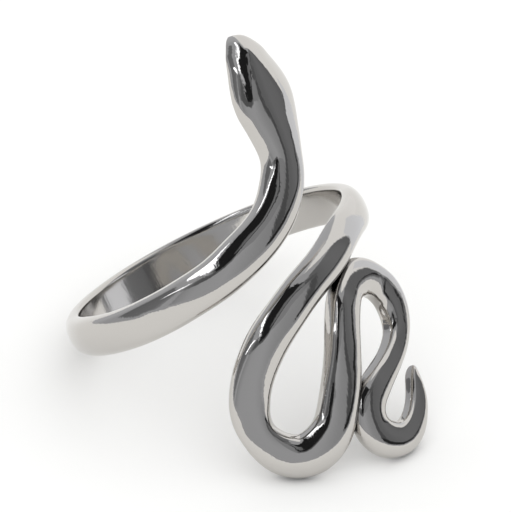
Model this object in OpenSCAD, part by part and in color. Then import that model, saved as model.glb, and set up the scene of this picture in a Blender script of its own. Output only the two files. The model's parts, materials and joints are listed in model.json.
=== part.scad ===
// Snake ring: one piece of polished metal that goes once round the finger.
// The head climbs along the finger on one side, and the tail folds down it in two
// loops and a small hook on the other. Every stretch lies on the same finger
// cylinder, so head, band and loops all touch the skin.
// The ring stands by itself as it is drawn: on the bottom of the big loop, on the
// hook and on the lower edge of the band at the back.

/* [Ring size] */
// inside diameter of the finger hole, mm
finger_d = 17.3; // [15.7:0.1:19.8]

/* [Body] */
// body width against the table of sections
width_scale = 1; // [0.85:0.05:1.1]
// body thickness against the table of sections
thickness_scale = 1; // [0.8:0.05:1.3]
// share of the thickness that the side walls take, the rest is the crown
wall_share = 0.7; // [0.5:0.05:0.8]
// width at the top of the side walls against the width at their foot
wall_lean = 0.86; // [0.75:0.01:0.95]
// share of the thickness taken off the edge next to the skin
edge_share = 0.16; // [0.1:0.02:0.24]
// length that the blunt nose is rounded over, mm
nose_round = 1.1; // [0.7:0.1:1.5]
// length that the tip of the tail is rounded over, mm
tip_round = 0.5; // [0.3:0.1:0.8]

/* [Rest] */
// lean of the finger hole from upright when the ring stands by itself, degrees
lean = 34.1; // [33:0.1:35]
// turn about the finger hole that puts its high side to the left, degrees
lean_side = -132.6; // [-134:0.1:-131]
// turn about the upright that brings the front of the ring round, degrees
facing = 144.6; // [-180:0.1:180]

/* [Facets] */
// length of one facet along the band and head, mm
long_step = 0.5; // [0.4:0.1:0.7]
// length of one facet along the loops, mm
loop_step = 0.3; // [0.25:0.05:0.4]
// facets across the crown
crown_facets = 8; // [6:2:10]

/* [Hidden] */

finger_r = finger_d / 2;
plan_r = 8.65;           // finger radius that the flat pattern is laid out for
silver = [0.77, 0.77, 0.78];

// The flat pattern of the body, unrolled from the finger.
// run: way along the body from the back of the band, minus towards the head
// heading: which way the body goes there, 180 is along the band, 270 down the finger
// width, thick: the section there
RUN = 0;
HEADING = 1;
WIDTH = 2;
THICK = 3;

HEAD = [
    // run, heading, width, thick
    [-43.2, 263, 1.85, 1.10],
    [-41.5, 270, 3.40, 1.40],
    [-39.5, 269, 4.70, 1.60],
    [-37.5, 257, 3.70, 1.55],
    [-35.5, 251, 2.65, 1.45],
    [-33.5, 226, 2.70, 1.40]
];
BAND = [
    [-31.5, 208, 2.80, 1.35],
    [-29.0, 196, 2.70, 1.35],
    [-25.0, 190, 2.65, 1.35],
    [-20.0, 183, 2.65, 1.25],
    [-14.0, 184, 2.40, 1.20],
    [0.0, 181.5, 2.70, 1.25],
    [14.0, 177.5, 2.50, 1.15],
    [17.0, 177, 2.25, 1.25],
    [20.0, 199, 2.35, 1.40],
    [22.5, 193, 2.30, 1.45]
];
BIG_LOOP = [
    [25.0, 208, 2.40, 1.55],
    [27.0, 216, 2.50, 1.55],
    [29.0, 227, 2.50, 1.45],
    [31.0, 246, 2.40, 1.40],
    [33.0, 278, 2.20, 1.35],
    [35.0, 310, 2.50, 1.30],
    [37.0, 375, 2.65, 1.35],
    [39.0, 414, 2.50, 1.40],
    [41.0, 417, 2.40, 1.45]
];
SMALL_LOOP = [
    [43.0, 422, 2.15, 1.45],
    [44.5, 419, 2.10, 1.45],
    [46.0, 415, 2.20, 1.45],
    [47.5, 372, 2.20, 1.45],
    [49.0, 319, 2.05, 1.40],
    [50.5, 302, 2.15, 1.35],
    [52.0, 260, 2.05, 1.35],
    [54.0, 213, 1.60, 1.30],
    [56.0, 198, 1.60, 1.30]
];
HOOK = [
    [58.0, 206, 2.00, 1.30],
    [60.0, 260, 2.10, 1.35],
    [62.0, 321, 2.35, 1.30],
    [64.0, 391, 1.80, 1.20],
    [66.0, 416, 1.25, 1.05],
    [67.8, 428, 0.70, 0.90]
];
BODY = concat(HEAD, BAND, BIG_LOOP, SMALL_LOOP, HOOK);

nose_run = BODY[0][RUN];
tip_run = BODY[len(BODY) - 1][RUN];
loops_run = 19;          // where the band turns down into the loops
turn_run = 35.8;         // bottom of the big loop
fold_run = 51.8;         // far side of the small loop
dip = 0.25;              // how far the raw section reaches into the finger hole
dip_share = 0.7;         // its width there against the body width
bend_reach = 0.8;        // half the length that a change of heading is spread over
size_reach = 0.5;        // the same for a change of width or thickness
plan_step = 0.1;         // length of one step of the centre line
blunt = 0.12;            // smallest share of the width left at a rounded end
end_fall = 0.6;          // power by which the thickness falls slower than the width there
nose_facets = 6;
tip_facets = 5;
hole_reach = 40;         // length of the cut that opens the finger hole to each side
hole_facets = 180;
hole_seam = -72;         // the hole's wall starts at the front, where the body crosses

// a column of the table at one run, spread over a reach so that nothing kinks
function column(c) = [for (row = BODY) [row[RUN], row[c]]];
function soft(run, col, reach) = (
    lookup(run - reach, col) + lookup(run + reach, col)
    + 2 * lookup(run - reach / 2, col) + 2 * lookup(run + reach / 2, col)
    + 2 * lookup(run, col)
) / 8;
headings = column(HEADING);
widths = column(WIDTH);
thicks = column(THICK);
function heading(run) = soft(run, headings, bend_reach);
function way(run) = [cos(heading(run)), sin(heading(run))];

// the centre line in the flat pattern, walked from the back of the band both ways
back = [-PI * plan_r, 0];
function walk(end) = let (n = round(abs(end) / plan_step), ds = end / n) [
    for (i = 0, p = back; i <= n; p = p + ds * way((i + 0.5) * ds), i = i + 1)
        [i * ds, p.x, p.y]
];
function reversed(a) = [for (i = [len(a) - 1:-1:1]) a[i]];
line = concat(reversed(walk(nose_run)), walk(tip_run));
line_u = [for (p = line) [p[0], p[1]]];
line_z = [for (p = line) [p[0], p[2]]];

// both ends close in a quarter round
function closing(d, over) = d >= over ? 1 : max(blunt, sqrt(1 - pow(1 - d / over, 2)));
function ends(run) = closing(run - nose_run, nose_round) * closing(tip_run - run, tip_round);

// one section as [across, up] pairs in mm: skin edge, side wall, crown, and back down
function section(half, thick) = concat(
    [[-dip_share * half, -dip], [-half, edge_share * thick]],
    [for (i = [0:crown_facets]) let (a = 180 * i / crown_facets) [
        -wall_lean * half * cos(a),
        (wall_share + (1 - wall_share) * sin(a)) * thick
    ]],
    [[half, edge_share * thick], [dip_share * half, -dip]]
);

// the section bent round the finger
function placed(run) =
    let (
        u = lookup(run, line_u),
        z = lookup(run, line_z),
        h = heading(run),
        half = soft(run, widths, size_reach) * width_scale * ends(run) / 2,
        thick = soft(run, thicks, size_reach) * thickness_scale * pow(ends(run), end_fall)
    )
    [for (q = section(half, thick))
        let (
            angle = (u - sin(h) * q.x) / plan_r * 180 / PI,
            r = finger_r + q.y
        )
        [r * sin(angle), -r * cos(angle), z + cos(h) * q.x]
    ];

// runs at which a stretch is cut into sections, closer together on a rounded end
function even(from, to, step) = let (n = ceil((to - from) / step)) [
    for (i = [0:n]) from + (to - from) * i / n
];
function without_last(a) = [for (i = [0:len(a) - 2]) a[i]];
function round_off(i, facets, over) = over * (1 - cos(90 * i / facets));
nose_runs = [for (i = [0:nose_facets]) nose_run + round_off(i, nose_facets, nose_round)];
tip_runs = [for (i = [tip_facets:-1:0]) tip_run - round_off(i, tip_facets, tip_round)];

module stretch(runs) {
    sections = [for (run = runs) placed(run)];
    m = len(sections[0]);
    n = len(sections);
    sides = [
        for (i = [0:n - 2], j = [0:m - 1]) let (k = (j + 1) % m)
            each [
                [i * m + j, i * m + k, (i + 1) * m + j],
                [i * m + k, (i + 1) * m + k, (i + 1) * m + j]
            ]
    ];
    caps = [
        for (j = [1:m - 2]) each [
            [0, j + 1, j],
            [(n - 1) * m, (n - 1) * m + j, (n - 1) * m + j + 1]
        ]
    ];
    polyhedron([for (s = sections) each s], concat(sides, caps), convexity = 10);
}

module raw_body() {
    // head, band and the outer side of the big loop
    stretch(concat(
        without_last(nose_runs),
        without_last(even(nose_run + nose_round, loops_run, long_step)),
        even(loops_run, turn_run, loop_step)
    ));
    // inner side of the big loop and the small loop
    stretch(even(turn_run, fold_run, loop_step));
    // the way back under the small loop, the hook and the tip
    stretch(concat(without_last(even(fold_run, tip_run - tip_round, loop_step)), tip_runs));
}

module snake_ring() {
    color(silver)
        rotate([0, 0, facing])
            rotate([0, lean, 0])
                rotate([0, 0, lean_side])
                    difference() {
                        raw_body();
                        rotate([0, 0, hole_seam])
                            cylinder(h = 2 * hole_reach, r = finger_r, center = true, $fn = hole_facets);
                    }
}

snake_ring();
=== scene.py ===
# %% [markdown]
# # A silver snake ring
# The ring is one piece of cast and polished silver. The snake's body goes once round
# the finger, its head lies up along the finger, and its tail folds down the finger in
# a big loop, a small loop and a hook. The CAD solid gives the true size and place.
# Here the same body is made again with many more sections, so that a polished surface
# shows clean reflections.

# %% Frame
import json
import math
import bpy
import numpy as np
from mathutils import Matrix, Vector

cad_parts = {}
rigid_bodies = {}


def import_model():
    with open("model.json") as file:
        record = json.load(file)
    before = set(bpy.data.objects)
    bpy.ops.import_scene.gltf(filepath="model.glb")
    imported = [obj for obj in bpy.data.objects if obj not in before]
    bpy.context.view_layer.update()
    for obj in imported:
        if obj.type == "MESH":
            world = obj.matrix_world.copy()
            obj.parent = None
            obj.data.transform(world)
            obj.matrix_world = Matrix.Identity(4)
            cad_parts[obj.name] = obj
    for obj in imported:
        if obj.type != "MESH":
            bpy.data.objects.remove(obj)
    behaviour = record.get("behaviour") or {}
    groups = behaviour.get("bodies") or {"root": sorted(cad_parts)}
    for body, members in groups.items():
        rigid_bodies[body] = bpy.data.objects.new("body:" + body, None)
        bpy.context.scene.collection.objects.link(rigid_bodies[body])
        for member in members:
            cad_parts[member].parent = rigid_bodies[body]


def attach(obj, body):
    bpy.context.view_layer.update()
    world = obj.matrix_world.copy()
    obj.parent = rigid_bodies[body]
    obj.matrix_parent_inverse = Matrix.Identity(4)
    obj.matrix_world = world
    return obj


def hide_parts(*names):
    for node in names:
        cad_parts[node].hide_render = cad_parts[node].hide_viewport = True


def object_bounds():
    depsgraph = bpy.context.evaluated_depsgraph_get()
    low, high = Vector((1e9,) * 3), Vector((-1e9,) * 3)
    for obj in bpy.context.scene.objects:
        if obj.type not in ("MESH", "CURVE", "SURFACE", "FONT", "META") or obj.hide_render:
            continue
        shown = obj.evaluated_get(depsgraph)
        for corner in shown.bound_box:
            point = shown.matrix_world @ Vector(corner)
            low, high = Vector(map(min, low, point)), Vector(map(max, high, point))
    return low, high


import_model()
cad_low, cad_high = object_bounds()
MM = 0.001
print("CAD box, mm:", [round((h - l) / MM, 2) for l, h in zip(cad_low, cad_high)])

# %% [markdown]
# ## Small helpers
# Colours are written as the sRGB hex values that a paint chart or a picture editor
# shows. Blender works with linear light, so one function turns them. Another small
# function adds a node, sets it and links it, which keeps each material a short list.

# %% Colours and nodes
def linear(hex_colour):
    """The linear colour of an sRGB hex value such as #D8D6D2."""
    parts = [int(hex_colour[i:i + 2], 16) / 255 for i in (1, 3, 5)]
    return tuple(c / 12.92 if c <= 0.04045 else ((c + 0.055) / 1.055) ** 2.4 for c in parts)


def add_node(tree, kind, settings=None, inputs=None):
    """Adds a node. An input is a plain value, or a socket that is linked to it."""
    node = tree.nodes.new(kind)
    for name, value in (settings or {}).items():
        setattr(node, name, value)
    for name, value in (inputs or {}).items():
        if isinstance(value, bpy.types.NodeSocket):
            tree.links.new(value, node.inputs[name])
        else:
            node.inputs[name].default_value = value
    return node


def new_material(name):
    """An empty material and its node tree with an output."""
    material = bpy.data.materials.new(name)
    material.use_nodes = True
    tree = material.node_tree
    tree.nodes.clear()
    return material, tree, add_node(tree, "ShaderNodeOutputMaterial")


def new_object(name, vertices, faces, material):
    """A mesh object in the scene, smooth shaded, with one material."""
    mesh = bpy.data.meshes.new(name)
    mesh.from_pydata([tuple(v) for v in vertices], [], faces)
    mesh.materials.append(material)
    mesh.shade_smooth()
    obj = bpy.data.objects.new(name, mesh)
    bpy.context.scene.collection.objects.link(obj)
    return obj


# %% [markdown]
# ## Camera
# A long lens far away, so that the ring hardly shows perspective, looking down at about
# 36 degrees. The camera is turned a little about its own axis, as a hand-held one is. A
# camera can be aimed with a constraint, but a direction worked out once is easier to read.

# %% Camera
CAMERA_SIDE = 0.01          # degrees round from the front
CAMERA_HEIGHT = 35.94       # degrees above the floor
CAMERA_DISTANCE = 0.4       # metres from the middle of the finger hole
CAMERA_TURN = 1.79          # degrees, leaning the picture's upright to the left
FOCAL_LENGTH = 466.8        # mm on a 36 mm wide sensor
CLIP_NEAR, CLIP_FAR = 0.01, 10
PICTURE_CENTRE = Vector((2.138, 0.706, 0.973)) * MM


def toward(side, height):
    """The direction at so many degrees round from the front, to the right, and up."""
    a, e = math.radians(side), math.radians(height)
    return Vector((math.sin(a) * math.cos(e), -math.cos(a) * math.cos(e), math.sin(e)))


camera_data = bpy.data.cameras.new("camera")
camera_data.lens = FOCAL_LENGTH
camera_data.clip_start = CLIP_NEAR
camera_data.clip_end = CLIP_FAR
camera = bpy.data.objects.new("camera", camera_data)
bpy.context.scene.collection.objects.link(camera)
camera.location = toward(CAMERA_SIDE, CAMERA_HEIGHT) * CAMERA_DISTANCE
aim = (PICTURE_CENTRE - camera.location).to_track_quat("-Z", "Y")
turn = Matrix.Rotation(math.radians(CAMERA_TURN), 3, "Z").to_quaternion()
camera.rotation_mode = "QUATERNION"
camera.rotation_quaternion = aim @ turn
bpy.context.scene.camera = camera
print("camera at", [round(c, 3) for c in camera.location])

# %% [markdown]
# ## The snake's body as a flat pattern
# A jeweller would draw this ring flat, cut the pattern and bend it round a mandrel. The
# pattern here is a table. It says how far along the body a section is (0 is the back of
# the band, minus goes to the head), which way the body heads there (180 is along the
# band, 270 is down the finger), and how wide and thick it is, in mm. These are the sizes
# of the CAD solid, so both have the same shape. Only the places of the rows were chosen.
# Their numbers aren't a design: a program outside this file fitted them to the outline
# in the photograph and rounded them.

# %% Flat pattern
FINGER_R = 8.65             # radius of the finger hole, mm
HEADING, WIDTH, THICK = 1, 2, 3
BODY = np.array([
    # run, heading, width, thick
    [-43.2, 263, 1.85, 1.10],
    [-41.5, 270, 3.40, 1.40],
    [-39.5, 269, 4.70, 1.60],
    [-37.5, 257, 3.70, 1.55],
    [-35.5, 251, 2.65, 1.45],
    [-33.5, 226, 2.70, 1.40],
    [-31.5, 208, 2.80, 1.35],
    [-29.0, 196, 2.70, 1.35],
    [-25.0, 190, 2.65, 1.35],
    [-20.0, 183, 2.65, 1.25],
    [-14.0, 184, 2.40, 1.20],
    [0.0, 181.5, 2.70, 1.25],
    [14.0, 177.5, 2.50, 1.15],
    [17.0, 177, 2.25, 1.25],
    [20.0, 199, 2.35, 1.40],
    [22.5, 193, 2.30, 1.45],
    [25.0, 208, 2.40, 1.55],
    [27.0, 216, 2.50, 1.55],
    [29.0, 227, 2.50, 1.45],
    [31.0, 246, 2.40, 1.40],
    [33.0, 278, 2.20, 1.35],
    [35.0, 310, 2.50, 1.30],
    [37.0, 375, 2.65, 1.35],
    [39.0, 414, 2.50, 1.40],
    [41.0, 417, 2.40, 1.45],
    [43.0, 422, 2.15, 1.45],
    [44.5, 419, 2.10, 1.45],
    [46.0, 415, 2.20, 1.45],
    [47.5, 372, 2.20, 1.45],
    [49.0, 319, 2.05, 1.40],
    [50.5, 302, 2.15, 1.35],
    [52.0, 260, 2.05, 1.35],
    [54.0, 213, 1.60, 1.30],
    [56.0, 198, 1.60, 1.30],
    [58.0, 206, 2.00, 1.30],
    [60.0, 260, 2.10, 1.35],
    [62.0, 321, 2.35, 1.30],
    [64.0, 391, 1.80, 1.20],
    [66.0, 416, 1.25, 1.05],
    [67.8, 428, 0.70, 0.90],
])
NOSE_RUN, TIP_RUN = BODY[0, 0], BODY[-1, 0]
BEND_REACH = 0.8            # half the length that a change of heading is spread over
SIZE_REACH = 0.5            # the same for width and thickness
PLAN_STEP = 0.05            # length of one step of the centre line, mm


def soft(run, column, reach, table=BODY):
    """A column of a table at a run, spread over a reach so that nothing kinks."""
    def at(r):
        return np.interp(r, table[:, 0], table[:, column])
    ends = at(run - reach) + at(run + reach)
    return (ends + 2 * at(run - reach / 2) + 2 * at(run + reach / 2) + 2 * at(run)) / 8


def heading(run):
    """Which way the body goes at a run, in radians."""
    return np.radians(soft(run, HEADING, BEND_REACH))


def walk(end):
    """The centre line from the back of the band to one end: runs, u and z."""
    count = round(abs(end) / PLAN_STEP)
    step = end / count
    ways = heading((np.arange(count) + 0.5) * step)
    u = np.concatenate([[0], np.cumsum(np.cos(ways) * step)]) - math.pi * FINGER_R
    z = np.concatenate([[0], np.cumsum(np.sin(ways) * step)])
    return np.arange(count + 1) * step, u, z


to_nose, to_tip = walk(NOSE_RUN), walk(TIP_RUN)
LINE = [np.concatenate([a[:0:-1], b]) for a, b in zip(to_nose, to_tip)]
print("body length, mm:", round(TIP_RUN - NOSE_RUN, 1))

# %% [markdown]
# ## The section
# A finger ring is smooth where it touches the skin: the inside is flat with rounded
# edges. The outside is a rounded D, made as a super-ellipse, which gives soft shoulders
# and a low crown in one smooth curve. A polygon with a bevel would do for the shape,
# but a mirror shows every corner as a line in the reflections. How square the curve is
# was fitted to those in the photograph, by a program outside this file.

# %% Section
SHOULDER = 2.05             # 2 is a plain ellipse, more is squarer across
CROWN = 2.93                # 2 is a plain ellipse, more is flatter on top
EDGE_SHARE = 0.16           # share of the thickness in the rounded inner edge
FLAT_SHARE = 0.72           # width of the flat inside against the whole width
OUTSIDE_STEPS, EDGE_STEPS, INSIDE_STEPS = 40, 5, 6


def power(x, p):
    """A power that keeps the sign."""
    return np.sign(x) * np.abs(x) ** p


def section():
    """The closed section as across and up, in shares of half the width and the thickness."""
    a = np.linspace(0, np.pi, OUTSIDE_STEPS + 1)
    up = power(np.sin(a), 2 / CROWN)
    across = -power(np.cos(a), 2 / SHOULDER)
    up = EDGE_SHARE + (1 - EDGE_SHARE) * up
    e = np.linspace(0, np.pi / 2, EDGE_STEPS + 1)[1:]
    edge_across = FLAT_SHARE + (1 - FLAT_SHARE) * np.cos(e)
    edge_up = EDGE_SHARE * (1 - np.sin(e))
    inside = np.linspace(FLAT_SHARE, -FLAT_SHARE, INSIDE_STEPS + 1)[1:-1]
    across = np.concatenate([across, edge_across, inside, -edge_across[::-1]])
    up = np.concatenate([up, edge_up, inside * 0, edge_up[::-1]])
    return across, up


ACROSS, UP = section()
print("points round a section:", len(ACROSS))

# %% [markdown]
# ## How it lies
# Put down, the ring stands on the big loop, the hook and the lower edge of the band, so
# its finger hole leans. Three turns bring it there from an upright finger. They are the
# turns of the CAD solid, done to the points, so that the object itself stays unturned.

# %% Rest
LEAN, LEAN_SIDE, FACING = 34.1, -132.6, 144.6   # degrees
REST = np.array(
    Matrix.Rotation(math.radians(FACING), 3, "Z")
    @ Matrix.Rotation(math.radians(LEAN), 3, "Y")
    @ Matrix.Rotation(math.radians(LEAN_SIDE), 3, "Z")
)
FINGER_AXIS = Vector(REST[:, 2])
print("the finger hole points along", [round(c, 3) for c in FINGER_AXIS])

# %% [markdown]
# ## The body as it was cast
# A cast and filed body is never quite as drawn, and a mirror shows a tenth of a
# millimetre as a bend in the reflections. The table says how much wider and thicker than
# the pattern the body is, in mm, how much thicker it is on the far side of its line than
# in the middle and how much on both sides, in shares, and how far it lies off its line,
# in mm. It could be sculpted, but a table stays in step with the pattern. The numbers
# aren't a design: a program outside this file fitted them to the reflections in the
# photograph, and only a few rows and the tip of the tail were changed by hand.

# %% Cast body
HAND = np.array([
    # run, wider, thicker, lean, arch, shift
    [-43.2, -0.16, 0.06, -0.05, -0.01, 0.13],
    [-42.4, -0.26, 0.06, -0.05, -0.02, 0.14],
    [-41.5, -0.01, 0.17, -0.15, 0.00, 0.06],
    [-40.5, 0.06, 0.08, 0.05, -0.06, 0.02],
    [-39.5, 0.12, 0.05, 0.13, -0.07, -0.02],
    [-38.5, 0.08, 0.12, 0.06, -0.01, -0.01],
    [-37.5, -0.02, 0.16, -0.03, -0.01, 0.00],
    [-35.5, -0.02, 0.24, -0.05, 0.00, -0.02],
    [-33.5, 0.00, 0.20, 0.07, 0.00, -0.07],
    [-31.5, -0.08, 0.05, -0.04, 0.05, 0.06],
    [-29.0, 0.09, -0.04, -0.02, 0.03, 0.02],
    [-27.0, -0.03, -0.07, -0.03, -0.01, 0.09],
    [-25.0, -0.04, -0.07, -0.02, 0.01, 0.01],
    [-22.5, -0.05, -0.13, 0.03, 0.01, 0.01],
    [-20.0, -0.11, 0.01, -0.02, 0.00, 0.04],
    [-17.0, 0.04, 0.06, -0.13, 0.01, 0.04],
    [-14.0, -0.04, -0.01, 0.00, 0.00, 0.05],
    [-7.0, -0.11, -0.02, -0.02, -0.02, 0.07],
    [0.0, -0.10, -0.01, 0.00, 0.00, 0.08],
    [7.0, 0.00, 0.00, -0.01, 0.01, -0.01],
    [14.0, 0.01, -0.02, 0.01, 0.00, -0.02],
    [17.0, -0.04, -0.07, 0.09, 0.00, 0.05],
    [20.0, -0.05, 0.06, 0.03, -0.01, 0.05],
    [22.5, 0.06, -0.04, -0.01, 0.03, 0.06],
    [25.0, 0.08, -0.23, 0.00, 0.05, 0.10],
    [27.0, 0.08, -0.16, -0.06, 0.01, 0.01],
    [29.0, 0.00, -0.04, -0.06, 0.09, 0.02],
    [31.0, -0.05, 0.07, -0.14, 0.25, 0.07],
    [33.0, -0.27, 0.15, -0.10, 0.25, 0.06],
    [35.0, 0.05, 0.07, -0.05, 0.07, 0.07],
    [36.3, 0.12, -0.02, 0.05, -0.05, 0.03],
    [37.7, 0.12, -0.06, 0.06, 0.04, 0.03],
    [39.0, 0.01, -0.10, 0.03, 0.04, -0.03],
    [41.0, 0.04, -0.16, 0.00, 0.09, -0.06],
    [43.0, 0.04, -0.04, 0.07, 0.13, -0.05],
    [44.5, 0.04, -0.03, 0.11, 0.14, -0.04],
    [46.0, 0.01, -0.05, 0.14, 0.14, -0.09],
    [47.0, 0.05, -0.24, 0.06, 0.07, -0.28],
    [48.0, 0.35, -0.28, -0.04, 0.07, -0.27],
    [49.0, 0.34, -0.21, 0.07, 0.08, -0.22],
    [50.0, 0.03, -0.10, 0.11, 0.11, -0.15],
    [51.0, 0.02, 0.03, 0.15, 0.18, -0.16],
    [52.0, -0.09, 0.05, 0.17, 0.20, -0.15],
    [53.0, -0.11, 0.00, 0.12, 0.25, -0.08],
    [54.0, -0.10, -0.13, 0.06, 0.24, 0.11],
    [56.0, -0.01, -0.18, 0.04, 0.17, 0.16],
    [58.0, 0.03, -0.09, -0.05, 0.18, 0.15],
    [60.0, 0.07, -0.11, -0.03, 0.04, 0.04],
    [62.0, -0.04, -0.20, -0.02, 0.01, 0.08],
    [64.0, 0.06, -0.23, 0.03, 0.16, 0.00],
    [66.0, 0.02, -0.16, -0.10, 0.22, -0.08],
    [67.0, -0.13, -0.14, -0.06, 0.25, -0.04],
    [67.8, -0.36, -0.18, -0.02, 0.28, -0.08],
])
print("rows of the cast body:", len(HAND))

# %% [markdown]
# ## The filed head
# The head has a low facet on its left that runs out to the nose, and a fuller crown
# behind it. The table says how far each edge moves and how much height is added at each
# place across, in 1/1000 mm. A smooth curve joins the values, since straight lines
# between them would show in the reflections. A few named forms would make a cleaner
# design. These numbers too were fitted to the reflections in the photograph, by a program
# outside this file.

# %% Filed head
TABLE_UNITS = 1000          # units of the table in a millimetre
HEAD_ACROSS = np.array([-1, -0.88, -0.76, -0.64, -0.52, -0.4, -0.28, -0.15, 0, 0.2, 0.45, 0.7, 1])
HEAD = np.array([
    # run, left edge in, right edge out, then the height at each place across
    [-43.2, 9, -5, -151, -54, -10, -36, -84, -101, -84, -49, -16, 10, 29, 38, 36],
    [-42.9, 60, -10, -240, -85, 36, 52, 16, -3, -7, -2, 2, 7, 11, 12, 9],
    [-42.6, 121, -12, -307, -128, 68, 140, 118, 95, 66, 39, 19, 4, -8, -19, -13],
    [-42.3, 123, 15, -319, -195, -21, 86, 161, 167, 112, 70, 35, 2, -23, -41, -26],
    [-41.9, 149, 99, -291, -236, -132, -22, 60, 105, 105, 76, 43, 0, -35, -27, -32],
    [-41.5, 187, 135, -266, -244, -148, -37, 23, 53, 82, 79, 54, -1, -54, -50, -49],
    [-41.1, 194, 141, -236, -188, -87, 24, 75, 92, 108, 111, 95, 24, -63, -89, -75],
    [-40.7, 178, 156, -147, -75, 30, 136, 159, 159, 161, 153, 137, 57, -54, -100, -95],
    [-40.3, 185, 150, -13, 28, 122, 216, 218, 203, 193, 175, 157, 74, -52, -107, -102],
    [-39.9, 207, 125, 104, 86, 171, 242, 234, 217, 198, 174, 155, 79, -55, -113, -94],
    [-39.5, 210, 107, 187, 142, 203, 253, 232, 212, 189, 161, 140, 78, -51, -103, -67],
    [-39.1, 147, 105, 166, 149, 190, 223, 210, 190, 168, 141, 121, 74, -38, -73, -24],
    [-38.7, 47, 94, 56, 110, 139, 170, 163, 155, 139, 119, 99, 68, -25, -39, 17],
    [-38.2, -28, 55, -36, 47, 71, 99, 105, 112, 101, 89, 74, 52, -13, -17, 33],
    [-37.6, -63, 23, -23, 7, 24, 41, 61, 72, 68, 59, 50, 34, -9, -4, 22],
    [-37.0, -60, -6, 5, 16, 22, 36, 50, 58, 59, 51, 40, 23, -11, -7, 8],
    [-36.4, -29, -12, 17, 27, 29, 30, 37, 40, 39, 36, 27, 10, -10, -5, 1],
    [-35.8, -12, -5, 7, 11, 12, 12, 15, 16, 16, 14, 11, 4, -4, -2, 0],
    [-35.2, 0, 0, 0, 0, 0, 0, 0, 0, 0, 0, 0, 0, 0, 0, 0],
    [-34.6, 0, 0, 0, 0, 0, 0, 0, 0, 0, 0, 0, 0, 0, 0, 0],
])


def spline(knots, at):
    """Weights that turn values at the knots into a smooth curve at other places."""
    n, gap = len(knots), np.diff(knots)
    bend, pull = np.eye(n), np.zeros((n, n))
    for i in range(1, n - 1):
        bend[i, i - 1:i + 2] = gap[i - 1], 2 * (gap[i - 1] + gap[i]), gap[i]
        pull[i, i - 1:i + 2] = 6 / gap[i - 1], -6 / gap[i - 1] - 6 / gap[i], 6 / gap[i]
    curve = np.linalg.solve(bend, pull)
    at = np.clip(at, knots[0], knots[-1])
    i = np.clip(np.searchsorted(knots, at) - 1, 0, n - 2)
    g = gap[i][:, None]
    b = (at - knots[i])[:, None] / g
    a = 1 - b
    line = a * np.eye(n)[i] + b * np.eye(n)[i + 1]
    return line + ((a ** 3 - a) * curve[i] + (b ** 3 - b) * curve[i + 1]) * g ** 2 / 6


print("rows of the filed head:", len(HEAD))

# %% [markdown]
# ## Bending it round the finger
# Each section is placed on the pattern and then rolled round the finger cylinder. The
# nose and the tip of the tail close in a quarter round. A curve with a bevel could be
# bent the same way, but points worked out one by one keep every section's own form.

# %% Placing
NOSE_ROUND, TIP_ROUND = 1.1, 0.8    # lengths that the ends are rounded over, mm
BLUNT = 0.12                # smallest share of the width left at an end
TIP_RISE = 0.42             # how far the tip is filed away on the finger side, mm
END_FALL = 0.6              # the thickness falls slower than the width there
SNUG = 0.993                # width against the CAD solid's, so that the body stays inside


def closing(d, over):
    """The share of the width left at a distance from a rounded end."""
    return np.maximum(BLUNT, np.sqrt(np.clip(1 - np.clip(1 - d / over, 0, 1) ** 2, 0, 1)))


def placed(runs):
    """Points of all the sections at these runs, in metres: section, point, xyz."""
    u, z = (np.interp(runs, LINE[0], LINE[i])[:, None] for i in (1, 2))
    way = heading(runs)[:, None]
    end = closing(runs - NOSE_RUN, NOSE_ROUND) * closing(TIP_RUN - runs, TIP_ROUND)
    wider, thicker, lean, arch, shift = (soft(runs, i, SIZE_REACH, HAND) for i in range(1, 6))
    half = ((soft(runs, WIDTH, SIZE_REACH) + wider) * end * SNUG / 2)[:, None]
    thick = ((soft(runs, THICK, SIZE_REACH) + thicker) * end ** END_FALL)[:, None]
    filed = spline(HEAD[:, 0], runs) @ HEAD[:, 1:] / TABLE_UNITS
    edges = np.where(ACROSS < 0, -ACROSS * filed[:, :1], ACROSS * filed[:, 1:2])
    off = half * ACROSS + shift[:, None] + edges * end[:, None]
    angle = (u - np.sin(way) * off) / FINGER_R
    r = FINGER_R + thick * UP * (1 + lean[:, None] * ACROSS + arch[:, None] * ACROSS ** 2)
    r += TIP_RISE * (1 - closing(TIP_RUN - runs, TIP_ROUND))[:, None]
    r += filed[:, 2:] @ spline(HEAD_ACROSS, ACROSS).T * UP * (end ** END_FALL)[:, None]
    points = np.stack([r * np.sin(angle), -r * np.cos(angle), z + np.cos(way) * off], -1)
    return points @ REST.T * MM


nose, tip = placed(np.array([NOSE_RUN, TIP_RUN])).mean(axis=1) / MM
print("nose and tip, mm:", nose.round(1).tolist(), tip.round(1).tolist())

# %% [markdown]
# ## Polished silver
# The ring is cast silver, filed and polished on a wheel. It is metallic 1 with a pale,
# slightly warm colour, and it reflects sharply outside. An image could carry the marks of
# the work, but noise in real millimetres has no seam. The finish depends on how far the
# surface lies from the finger, so the first nodes measure that.

# %% Silver, where the surface lies
# Sockets that share a name are given by number.
STROKE = 0.7                # share by which the grain is drawn out along the finger
silver, tree, output = new_material("polished_cast_silver")
place = add_node(tree, "ShaderNodeTexCoord").outputs["Object"]
along = add_node(tree, "ShaderNodeVectorMath", {"operation": "DOT_PRODUCT"}, {
    0: place, 1: FINGER_AXIS})
foot = add_node(tree, "ShaderNodeVectorMath", {"operation": "SCALE"}, {
    0: FINGER_AXIS, "Scale": along.outputs["Value"]})
reach = add_node(tree, "ShaderNodeVectorMath", {"operation": "DISTANCE"}, {
    0: place, 1: foot.outputs["Vector"]})
stroked = add_node(tree, "ShaderNodeVectorMath", {"operation": "MULTIPLY_ADD"}, {
    0: foot.outputs["Vector"], 1: (-STROKE, -STROKE, -STROKE), 2: place})
print("nodes that measure the place:", len(tree.nodes))

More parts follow.
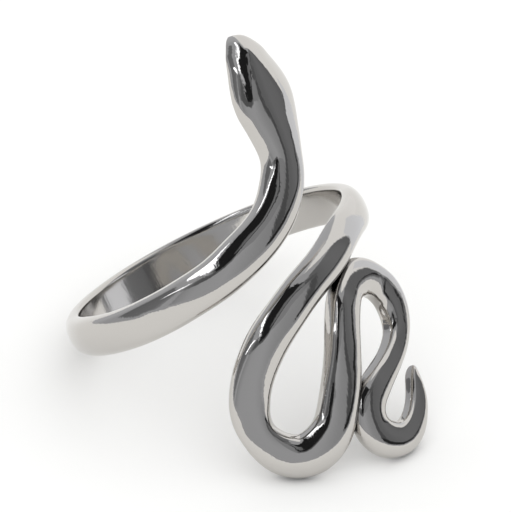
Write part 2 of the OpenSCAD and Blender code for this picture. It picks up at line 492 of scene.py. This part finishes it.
# %% [markdown]
# ## How sharply it reflects
# A polishing wheel leaves marks that blur a lamp a little. It hardly reaches the side
# next to the skin, so that side is satin, and the change is spread over the rounded edge.
# Real marks are some hundredths of a millimetre wide. They are drawn coarser, because
# they wouldn't show otherwise.

# %% Silver, roughness
MARK_MM = 0.12
NOISE_LOW, NOISE_HIGH = 0.3, 0.7            # nearly all of a noise lies between these
CLEAR_ROUGHNESS, MARKED_ROUGHNESS = 0.03, 0.07
INSIDE_ROUGHNESS = 0.13
SATIN_MM, POLISHED_MM = 0.02, 0.26          # heights over the skin where each finish ends
marks = add_node(tree, "ShaderNodeTexNoise", inputs={
    "Vector": place, "Scale": 1 / (MARK_MM * MM), "Detail": 3.0})
polished = add_node(tree, "ShaderNodeMapRange", inputs={
    "Value": marks.outputs["Fac"], "From Min": NOISE_LOW, "From Max": NOISE_HIGH,
    "To Min": CLEAR_ROUGHNESS, "To Max": MARKED_ROUGHNESS})
rough = add_node(tree, "ShaderNodeMapRange", inputs={
    "Value": reach.outputs["Value"], "From Min": (FINGER_R + SATIN_MM) * MM,
    "From Max": (FINGER_R + POLISHED_MM) * MM, "To Min": INSIDE_ROUGHNESS,
    "To Max": polished.outputs["Result"]})
print("roughness outside and inside:", CLEAR_ROUGHNESS, MARKED_ROUGHNESS, INSIDE_ROUGHNESS)

# %% [markdown]
# ## Waves and grain
# The file leaves a slow waviness that makes reflections swim, and a fine grain that is
# drawn out along the finger. Both are far lower than the mesh could show, so they are
# bump. The grain too is drawn coarser than real.

# %% Silver, relief
WAVE_MM, WAVE_HEIGHT_MM, WAVE_STRENGTH = 1.6, 0.1, 0.15
GRAIN_MM, GRAIN_HEIGHT_MM, GRAIN_STRENGTH = 0.16, 0.012, 0.3
waves = add_node(tree, "ShaderNodeTexNoise", inputs={
    "Vector": place, "Scale": 1 / (WAVE_MM * MM), "Detail": 1.0})
grain = add_node(tree, "ShaderNodeTexNoise", inputs={
    "Vector": stroked.outputs["Vector"], "Scale": 1 / (GRAIN_MM * MM), "Detail": 2.0})
wavy = add_node(tree, "ShaderNodeBump", inputs={
    "Height": waves.outputs["Fac"], "Strength": WAVE_STRENGTH, "Distance": WAVE_HEIGHT_MM * MM})
grained = add_node(tree, "ShaderNodeBump", inputs={
    "Height": grain.outputs["Fac"], "Strength": GRAIN_STRENGTH,
    "Distance": GRAIN_HEIGHT_MM * MM, "Normal": wavy.outputs["Normal"]})
print("waves and grain, mm long:", WAVE_MM, GRAIN_MM)

# %% [markdown]
# ## Painted shade in the creases
# Where two stretches of the body meet, the deep crease lies in shade, so the colour is
# painted dark there: painted shade. A node that tells how open the surface is finds those
# places, also if the shape changes, where a painted mask would have to be painted again.

# %% Silver, colour
# The second colour is painted shade for the creases. It is full where the surface is as shut in
# as the first openness below, and gone where it is as open as the second.
SILVER_COLOUR, PAINTED_SHADE_COLOUR = "#C3C0BC", "#2B2926"
CREVICE_MM = 0.5                            # how far away metal still shuts a place in
CREVICE_SAMPLES = 8
SHADE_FULL_OPENNESS, SHADE_GONE_OPENNESS = 0.25, 0.6                # how open the surface is there
A_COLOUR, B_COLOUR, RESULT_COLOUR = 6, 7, 2
openness = add_node(tree, "ShaderNodeAmbientOcclusion", {"samples": CREVICE_SAMPLES}, {
    "Distance": CREVICE_MM * MM})
unshaded_share = add_node(tree, "ShaderNodeMapRange", inputs={
    "Value": openness.outputs["AO"], "From Min": SHADE_FULL_OPENNESS, "From Max": SHADE_GONE_OPENNESS})
# Painted shade: the colour goes from near black to silver as the surface opens.
metal = add_node(tree, "ShaderNodeMix", {"data_type": "RGBA"}, {
    "Factor": unshaded_share.outputs["Result"], A_COLOUR: (*linear(PAINTED_SHADE_COLOUR), 1),
    B_COLOUR: (*linear(SILVER_COLOUR), 1)})
bsdf = add_node(tree, "ShaderNodeBsdfPrincipled", inputs={
    "Base Color": metal.outputs[RESULT_COLOUR], "Metallic": 1.0,
    "Roughness": rough.outputs["Result"], "Normal": grained.outputs["Normal"]})
tree.links.new(bsdf.outputs["BSDF"], output.inputs["Surface"])
print("nodes of the silver:", len(tree.nodes))

# %% [markdown]
# ## Making the metal
# One long tube would run through itself where the loops touch. So the body is made in
# three closed stretches, cut where they lie clear, and a boolean union fuses them as
# the casting does.

# %% Body
TURN_RUN = 35.8             # bottom of the big loop
FOLD_RUN = 51.8             # far side of the small loop
RUN_STEP = 0.12             # length between sections, mm
NOSE_STEPS, TIP_STEPS = 12, 8       # sections over a rounded end
CREASE = math.radians(35)   # a sharper edge than this stays an edge


def stretch(name, start, end):
    """A closed tube of the body from one run to another."""
    runs = np.linspace(start, end, round((end - start) / RUN_STEP) + 1)
    if start == NOSE_RUN:
        near = NOSE_ROUND * (1 - np.cos(np.linspace(0, np.pi / 2, NOSE_STEPS + 1)))
        runs = np.concatenate([start + near, runs[runs > start + NOSE_ROUND + RUN_STEP / 2]])
    if end == TIP_RUN:
        near = TIP_ROUND * (1 - np.cos(np.linspace(np.pi / 2, 0, TIP_STEPS + 1)))
        runs = np.concatenate([runs[runs < end - TIP_ROUND - RUN_STEP / 2], end - near])
    points = placed(runs)
    count, around = points.shape[:2]
    faces = []
    for i in range(count - 1):
        for j in range(around):
            k = (j + 1) % around
            a, b = i * around, (i + 1) * around
            faces.append((a + j, b + j, b + k, a + k))
    first, last = tuple(range(around)), tuple(range((count - 1) * around, count * around))
    faces += [first, last[::-1]]
    return new_object(name, points.reshape(-1, 3), faces, silver)


ring = stretch("ring", NOSE_RUN, TURN_RUN)
for name, start, end in (("middle", TURN_RUN, FOLD_RUN), ("hook", FOLD_RUN, TIP_RUN)):
    part = stretch(name, start, end)
    union = ring.modifiers.new(name, "BOOLEAN")
    union.operation, union.solver, union.object = "UNION", "MANIFOLD", part
    depsgraph = bpy.context.evaluated_depsgraph_get()
    fused = bpy.data.meshes.new_from_object(ring.evaluated_get(depsgraph))
    ring.modifiers.clear()
    ring.data = fused
    bpy.data.objects.remove(part)
ring.name = "silver_snake_body"
ring.data.shade_smooth()
ring.data.set_sharp_from_angle(angle=CREASE)
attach(ring, "root")
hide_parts("snake_ring")
print("faces:", len(ring.data.polygons))

# %% [markdown]
# ## Floor
# The ring stands on a plain matt white table. It is one large square at the height of the
# ring's lowest point, with no gloss, so that it shows nothing but the soft shadow.

# %% Floor
TABLE_SIZE = 6.0            # metres
TABLE_COLOUR = "#FAFAF9"
floor_material, tree, output = new_material("matt_white_table")
bsdf = add_node(tree, "ShaderNodeBsdfPrincipled", inputs={
    "Base Color": (*linear(TABLE_COLOUR), 1), "Roughness": 0.9, "Specular IOR Level": 0.0})
tree.links.new(bsdf.outputs["BSDF"], output.inputs["Surface"])
table_height, side = cad_low.z, TABLE_SIZE / 2
corners = [(x, y, table_height) for x, y in (
    (-side, -side), (side, -side), (side, side), (-side, side))]
floor = new_object("floor", corners, [(0, 1, 2, 3)], floor_material)
print("table height, mm:", round(table_height / MM, 2))

# %% [markdown]
# ## Soft light
# An even white world lights the table from all round, as a light tent does. Lamps would
# cast harder shadows than a ring in a tent has.

# %% World
SOFT_LIGHT = 1.12
world = bpy.data.worlds.new("studio")
world.use_nodes = True
background = world.node_tree.nodes["Background"]
background.inputs["Color"].default_value = (*linear("#FFFFFF"), 1)
background.inputs["Strength"].default_value = SOFT_LIGHT
bpy.context.scene.world = world
bpy.context.scene.view_settings.view_transform = "Standard"
print("soft light:", SOFT_LIGHT)

# %% [markdown]
# ## The room in the silver
# A polished ring is a picture of its room. The white table gives the light flanks, the
# grey front of the room the dark face along the crown, the dark ceiling the black
# stretches, and two narrow lamps the white streaks. Each card is a piece of a dome round
# the ring that only gloss sees. Area lamps would also light the table, and a picture of a
# room would come from outside. A small card close to the ring lights the inner wall of
# the band from the right. The places and lights were set to follow averages of the
# photograph's brightness for each direction that the silver mirrors.

# %% Cards
CARDS = [
    # name, distance in metres, then its uprights: side, lowest, highest in degrees, light
    ("room", 1.00, [
        (-165, -2, 90, 0.66), (-126, -2, 90, 0.64), (-112, -2, 90, 0.53), (112, -2, 90, 0.52),
        (121, -2, 14, 0.52)]),
    ("room_front", 0.99, [
        (-38, -1, 32, 0.39), (-15, -1, 32, 0.51), (15, -1, 32, 0.53), (40, -1, 32, 0.43),
        (58, -1, 32, 0.39)]),
    ("room_upper_front", 0.99, [(10, 32, 62, 0.35), (46, 32, 58, 0.35), (62, 32, 56, 0.28)]),
    ("room_right", 0.98, [
        (57, 0, 60, 0.20), (74, 0, 60, 0.20), (90, -1, 60, 0.24), (104, -1, 60, 0.23),
        (112, -1, 60, 0.20), (121, -1, 14, 0.20)]),
    ("room_corner", 0.975, [(59, 0, 36, 0.12), (68, 0, 36, 0.12)]),
    ("room_left", 0.98, [
        (-105, 9, 24, 0.24), (-99, 8, 34, 0.21), (-80, 5, 34, 0.22), (-58, 0, 30, 0.25),
        (-50, 4, 30, 0.36)]),
    ("table_edge", 0.96, [
        (55, 5, 8, 0.03), (62, 2.5, 8, 0.03), (80, 2, 7, 0.03), (100, 1.5, 5.5, 0.03),
        (108, 0.7, 4, 0.03), (118.5, 0, 3.5, 0.03)]),
    ("ceiling_edge", 0.975, [
        (-46, 24, 34, 0.32), (-36, 26, 38, 0.26), (-28, 27, 38, 0.15), (-12, 26.5, 32, 0.14),
        (4, 27.5, 32, 0.15), (12, 30, 36, 0.24)]),
    ("ceiling", 0.97, [
        (-112, 56, 62, 0.02), (-90, 56, 68, 0.02), (-62, 54, 75, 0.02), (-44, 42, 77, 0.02),
        (-30, 40, 77, 0.02), (-20, 37, 77, 0.02), (-10, 31, 77, 0.02), (0, 31, 77, 0.02),
        (9, 33, 76, 0.02), (20, 46, 72, 0.02), (35, 48, 64, 0.02), (52, 42, 53, 0.14),
        (70, 35, 42, 0.16)]),
    ("ceiling_front", 0.965, [
        (4, 40, 56, 0.16), (10, 39, 55, 0.21), (20, 48, 55, 0.25), (35, 50, 58, 0.25),
        (50, 44, 52, 0.30)]),
    ("lamp", 0.95, [
        (-112, 40, 45, 3), (-85, 43, 49, 3), (-60, 47, 50.5, 3),
        (-42, 44, 47.5, 3), (-33, 42, 45, 3), (-27, 39, 43, 0.9), (-17, 38, 40, 0.6)]),
    ("bounce_card", 0.024, [(103, -10, 36, 1.02), (128, -10, 36, 1.02)]),
    ("small_lamp", 0.94, [
        (-71, 20, 22, 3), (-66, 23, 27, 3), (-57, 29, 33, 3), (-48, 33.5, 36.5, 2.4),
        (-40, 35, 36.5, 1.2)]),
]
print("cards:", len(CARDS))

# %% [markdown]
# ## Hanging the cards
# Each card is a grid between its uprights. The light is kept on the points of the mesh,
# so it runs smoothly from one upright to the next, which a lamp per stretch couldn't do.

# %% Card pieces
ROOM_COLOUR = "#F6F9FF"     # the cool grey of a room in daylight
CARD_STEP = 4               # degrees between the points of a card
CARD_LIFT = 0.2 * MM        # how far over the table a card ends that goes below the horizon
TABLE_DROP = -table_height - CARD_LIFT


def card(name, distance, uprights):
    """A piece of a dome round the ring that shines, and that only gloss sees.

    Below the horizon the piece lies on the table."""
    at, lowest, highest, glow = zip(*uprights)
    sides = np.linspace(at[0], at[-1], round((at[-1] - at[0]) / CARD_STEP) + 1)
    bottom, top, light = (np.interp(sides, at, values) for values in (lowest, highest, glow))
    rows = max(2, round((top - bottom).max() / CARD_STEP) + 1)
    vertices = []
    for share in np.linspace(0, 1, rows):
        for side, height in zip(sides, bottom + share * (top - bottom)):
            fall = math.sin(math.radians(-height))
            reach = min(distance, TABLE_DROP / fall) if fall > 0 else distance
            vertices.append(toward(side, height) * reach)
    n = len(sides)
    faces = [
        (i * n + j, i * n + j + 1, (i + 1) * n + j + 1, (i + 1) * n + j)
        for i in range(rows - 1) for j in range(n - 1)
    ]
    material, tree, output = new_material(name)
    shade = add_node(tree, "ShaderNodeAttribute", {"attribute_name": "light"})
    shine = add_node(tree, "ShaderNodeEmission", inputs={
        "Color": (*linear(ROOM_COLOUR), 1), "Strength": shade.outputs["Fac"]})
    tree.links.new(shine.outputs["Emission"], output.inputs["Surface"])
    piece = new_object(name, vertices, faces, material)
    lights = piece.data.attributes.new("light", "FLOAT", "POINT")
    lights.data.foreach_set("value", np.tile(light, rows))
    for kind in ("camera", "diffuse", "shadow", "transmission", "volume_scatter"):
        setattr(piece, "visible_" + kind, False)


for row in CARDS:
    card(*row)
